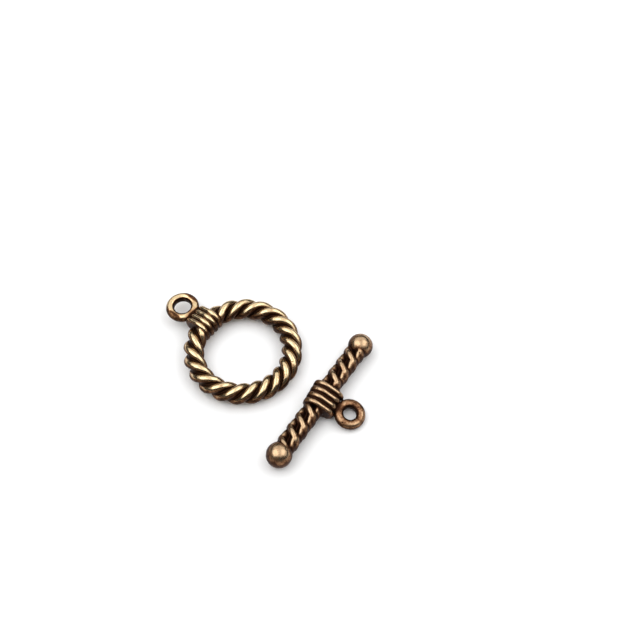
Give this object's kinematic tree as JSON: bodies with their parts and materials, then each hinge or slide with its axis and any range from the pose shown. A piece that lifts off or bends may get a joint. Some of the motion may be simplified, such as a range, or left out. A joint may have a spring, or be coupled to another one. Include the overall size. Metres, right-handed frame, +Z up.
{
  "type": "toggle clasp",
  "caption": "Rope-twist ring with a wire-wrapped collar and eyelet, and a twisted bar with ball ends and an eyelet that passes through it.",
  "frame": {"origin": "middle of the whole clasp's box, on the table that both halves lie on", "axes": "+X from the ring's eyelet through the ring to the bar's eyelet, +Y along the bar, +Z up from the table"},
  "size_m": [0.0306, 0.0212, 0.0032],
  "materials": {
    "antique_copper": "antique copper plating, near-black in the recesses and rubbed bright on the crests"
  },
  "bodies": {
    "root": {"ring_half": "antique_copper", "toggle_bar": "antique_copper"}
  },
  "joints": []
}
